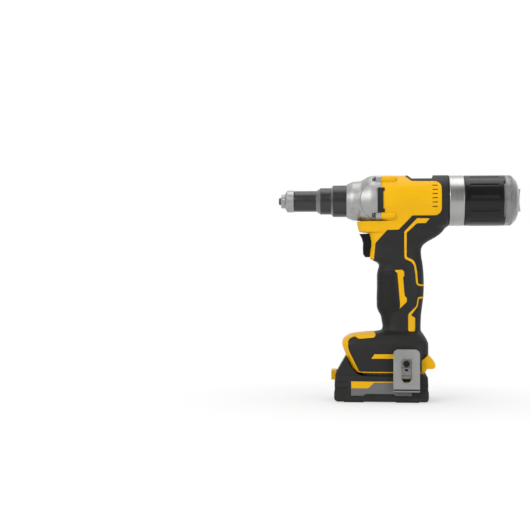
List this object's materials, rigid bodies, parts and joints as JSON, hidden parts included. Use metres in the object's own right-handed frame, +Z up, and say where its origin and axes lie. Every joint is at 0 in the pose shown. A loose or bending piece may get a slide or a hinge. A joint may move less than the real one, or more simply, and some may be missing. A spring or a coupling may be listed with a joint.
{
  "type": "cordless blind rivet tool",
  "caption": "Pistol-grip cordless blind rivet tool with a stepped nose, spindle drive, clear mandrel collector, belt hook and slide-on battery.",
  "frame": {"origin": "middle of the battery's flat underside, on the tool's middle plane", "axes": "+Z up, the nose points to -X, the mandrel collector to +X, and the belt hook is on the -Y side"},
  "size_m": [0.2921, 0.0858, 0.273],
  "materials": {
    "yellow_plastic": "moulded yellow housing plastic",
    "black_rubber": "matt black overmould",
    "seal_rubber": "black gasket",
    "cast_alloy": "bead-blasted die casting",
    "turned_alloy": "turned bright alloy",
    "black_anodised": "black anodised turning",
    "bright_steel": "bright plated steel",
    "dark_steel": "dark hardened steel",
    "bearing_steel": "ground steel",
    "spring_steel": "spring wire",
    "lamination": "stacked laminations",
    "copper": "copper",
    "brass": "turned brass",
    "plate_alloy": "machined plate",
    "black_plastic": "black glass-filled plastic",
    "green_board": "circuit board",
    "clear_lens": "clear lens",
    "smoke_plastic": "smoke-tinted clear plastic",
    "hook_steel": "grey zinc-plated steel strip",
    "cell_foil": "foil pouch cells",
    "grey_panel": "bare panel"
  },
  "bodies": {
    "tool": {"left_housing": "yellow_plastic", "right_housing": "yellow_plastic", "left_overmould": "black_rubber", "right_overmould": "black_rubber", "grip_badges": "yellow_plastic", "housing_screws": "bright_steel", "gear_housing": "cast_alloy", "machine_screws": "dark_steel", "side_bumpers": "black_rubber", "nose_barrel": "black_anodised", "nose_cap": "bright_steel", "nosepiece": "dark_steel", "gear_plate": "plate_alloy", "bearings": "bearing_steel", "ring_gear": "bearing_steel", "motor_plate": "plate_alloy", "stator": "lamination", "stator_windings": "copper", "guide_bush": "brass", "rear_ring": "turned_alloy", "trigger_switch": "black_plastic", "battery_receiver": "black_plastic", "terminal_block": "black_plastic", "terminal_blades": "copper", "board_tray": "black_plastic", "circuit_board": "green_board", "light_lens": "clear_lens", "belt_hook": "hook_steel", "belt_hook_screw": "bright_steel", "hook_inserts": "brass"},
    "trigger": {"trigger": "black_plastic", "trigger_spring": "spring_steel"},
    "nut": {"drive_nut": "bearing_steel", "nut_gear": "bearing_steel"},
    "pull_head": {"drive_screw": "bearing_steel", "jaw_housing": "bearing_steel", "mandrel_tube": "bearing_steel", "jaw_spring": "spring_steel"},
    "pusher": {"jaw_pusher": "dark_steel"},
    "jaw_a": {"jaw_1": "dark_steel"},
    "jaw_b": {"jaw_2": "dark_steel"},
    "jaw_c": {"jaw_3": "dark_steel"},
    "carrier": {"planet_carrier": "bearing_steel", "output_pinion": "bearing_steel"},
    "planet_a": {"planet_1": "bearing_steel"},
    "planet_b": {"planet_2": "bearing_steel"},
    "planet_c": {"planet_3": "bearing_steel"},
    "motor_rotor": {"rotor": "lamination", "cooling_fan": "black_plastic"},
    "battery": {"battery_base": "black_plastic", "battery_cover": "black_plastic", "battery_cells": "cell_foil", "battery_panels": "grey_panel", "latch_spring": "spring_steel"},
    "latch": {"battery_latch": "yellow_plastic"},
    "seal": {"collector_seal": "seal_rubber"},
    "collector": {"collector_sleeve": "black_plastic", "mandrel_cup": "smoke_plastic"},
    "tray": {"nosepiece_tray": "yellow_plastic", "spare_nosepieces": "dark_steel"}
  },
  "joints": [
    {"name": "trigger_pull", "type": "slide", "parent": "tool", "child": "trigger", "axis": [1, 0, 0], "range_m": [0, 0.006], "stiffness_N_per_m": 500, "springref_m": -0.004, "deforming": ["trigger_spring"]},
    {"name": "nut_spin", "type": "hinge", "parent": "tool", "child": "nut", "pos_m": [0, 0, 0.242], "axis": [1, 0, 0], "range_deg": [0, 1800]},
    {"name": "pull_stroke", "type": "slide", "parent": "tool", "child": "pull_head", "axis": [1, 0, 0], "range_m": [0, 0.03]},
    {"name": "jaw_close", "type": "slide", "parent": "pull_head", "child": "pusher", "axis": [-1, 0, 0], "range_m": [0, 0.002], "deforming": ["jaw_spring"]},
    {"name": "jaw_1_close", "type": "slide", "parent": "pull_head", "child": "jaw_a", "axis": [-0.9806, 0, 0.1961], "range_m": [0, 0.00205]},
    {"name": "jaw_2_close", "type": "slide", "parent": "pull_head", "child": "jaw_b", "axis": [-0.9806, -0.1698, -0.0981], "range_m": [0, 0.00205]},
    {"name": "jaw_3_close", "type": "slide", "parent": "pull_head", "child": "jaw_c", "axis": [-0.9806, 0.1698, -0.0981], "range_m": [0, 0.00205]},
    {"name": "carrier_spin", "type": "hinge", "parent": "tool", "child": "carrier", "pos_m": [0, 0, 0.216], "axis": [1, 0, 0], "range_deg": [-3401, 0]},
    {"name": "planet_1_spin", "type": "hinge", "parent": "carrier", "child": "planet_a", "pos_m": [0.028, 0, 0.207], "axis": [1, 0, 0], "range_deg": [0, 10201]},
    {"name": "planet_2_spin", "type": "hinge", "parent": "carrier", "child": "planet_b", "pos_m": [0.028, 0.00779, 0.2205], "axis": [1, 0, 0], "range_deg": [0, 10201]},
    {"name": "planet_3_spin", "type": "hinge", "parent": "carrier", "child": "planet_c", "pos_m": [0.028, -0.00779, 0.2205], "axis": [1, 0, 0], "range_deg": [0, 10201]},
    {"name": "rotor_spin", "type": "hinge", "parent": "tool", "child": "motor_rotor", "pos_m": [0, 0, 0.216], "axis": [1, 0, 0], "range_deg": [-13601, 0]},
    {"name": "battery_slide", "type": "slide", "parent": "tool", "child": "battery", "axis": [-1, 0, 0], "range_m": [0, 0.085]},
    {"name": "latch_press", "type": "slide", "parent": "battery", "child": "latch", "axis": [0, 0, -1], "range_m": [0, 0.0048], "stiffness_N_per_m": 600, "springref_m": -0.003, "deforming": ["latch_spring"]},
    {"name": "collector_pull", "type": "slide", "parent": "tool", "child": "seal", "axis": [1, 0, 0], "range_m": [0, 0.065]},
    {"name": "collector_twist", "type": "hinge", "parent": "seal", "child": "collector", "pos_m": [0.1, 0, 0.242], "axis": [1, 0, 0], "range_deg": [0, 30]},
    {"name": "tray_slide", "type": "slide", "parent": "tool", "child": "tray", "axis": [1, 0, 0], "range_m": [0, 0.03]}
  ],
  "couplings": [
    {"joint": "pull_stroke", "follows": "nut_spin", "m_per_rad": 0.0009549},
    {"joint": "carrier_spin", "follows": "nut_spin", "ratio": -1.8889},
    {"joint": "rotor_spin", "follows": "nut_spin", "ratio": -7.5556},
    {"joint": "planet_1_spin", "follows": "nut_spin", "ratio": 5.6667},
    {"joint": "planet_2_spin", "follows": "nut_spin", "ratio": 5.6667},
    {"joint": "planet_3_spin", "follows": "nut_spin", "ratio": 5.6667},
    {"joint": "jaw_1_close", "follows": "jaw_close", "ratio": 1.0198},
    {"joint": "jaw_2_close", "follows": "jaw_close", "ratio": 1.0198},
    {"joint": "jaw_3_close", "follows": "jaw_close", "ratio": 1.0198}
  ]
}
